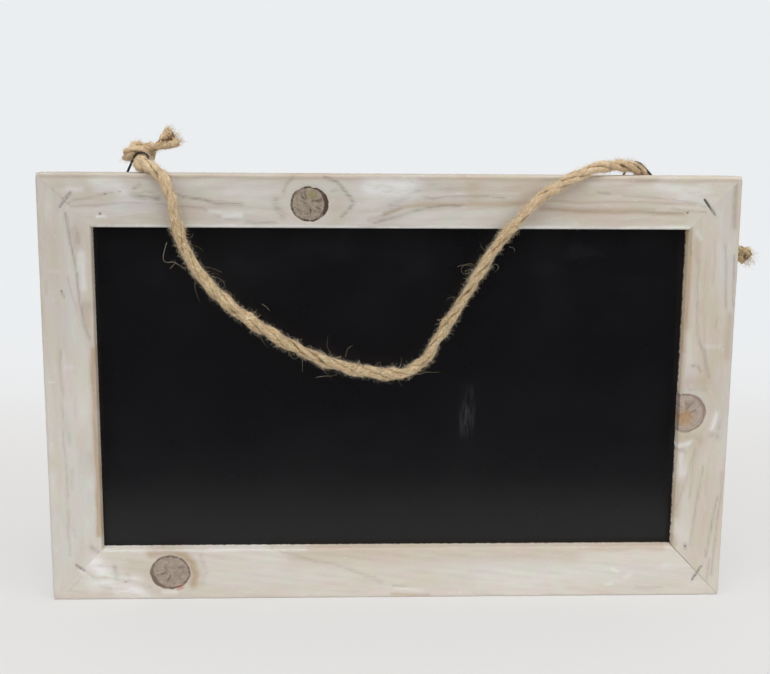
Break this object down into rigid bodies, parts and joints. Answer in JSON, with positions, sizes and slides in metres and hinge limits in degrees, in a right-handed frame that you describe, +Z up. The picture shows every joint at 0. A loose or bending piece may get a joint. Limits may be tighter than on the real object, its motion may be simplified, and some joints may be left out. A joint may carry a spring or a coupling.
{
  "type": "wall chalkboard",
  "caption": "Small wall chalkboard: a mitred whitewashed pine frame round a recessed black writing panel, with a knotted jute rope hanger through wire eyes.",
  "frame": {"origin": "middle of the frame's bottom edge, halfway through its thickness", "axes": "+X along the board to the right as seen from the front, -Y out of the writing side, +Z up"},
  "size_m": [0.4201, 0.0525, 0.2741],
  "materials": {
    "whitewashed_pine": "whitewashed, brushed pine with knots, matt",
    "blackboard": "black board paint on hardboard, satin",
    "staple_steel": "dull galvanised staple, partly under the whitewash",
    "point_steel": "zinc plated sheet steel",
    "black_wire": "blackened annealed wire",
    "jute_rope": "three-strand twisted jute with loose fibres"
  },
  "bodies": {
    "root": {"top_rail": "whitewashed_pine", "bottom_rail": "whitewashed_pine", "left_stile": "whitewashed_pine", "right_stile": "whitewashed_pine", "chalkboard_panel": "blackboard", "top_left_staple": "staple_steel", "top_right_staple": "staple_steel", "bottom_left_staple": "staple_steel", "bottom_right_staple": "staple_steel", "panel_point_1": "point_steel", "panel_point_2": "point_steel", "panel_point_3": "point_steel", "panel_point_4": "point_steel", "panel_point_5": "point_steel", "panel_point_6": "point_steel", "panel_point_7": "point_steel", "panel_point_8": "point_steel", "panel_point_9": "point_steel", "panel_point_10": "point_steel", "left_wire_eye": "black_wire", "right_wire_eye": "black_wire", "left_knot": "jute_rope", "rope_left_end": "jute_rope", "rope_right_end": "jute_rope", "right_knot": "jute_rope"},
    "rope_loop": {"rope_front_span": "jute_rope"}
  },
  "joints": [
    {"name": "rope_swing", "type": "hinge", "parent": "root", "child": "rope_loop", "pos_m": [0, -0.003, 0.2571], "axis": [-1, 0, 0], "range_deg": [0, 180], "deforming": ["rope_front_span"]}
  ]
}
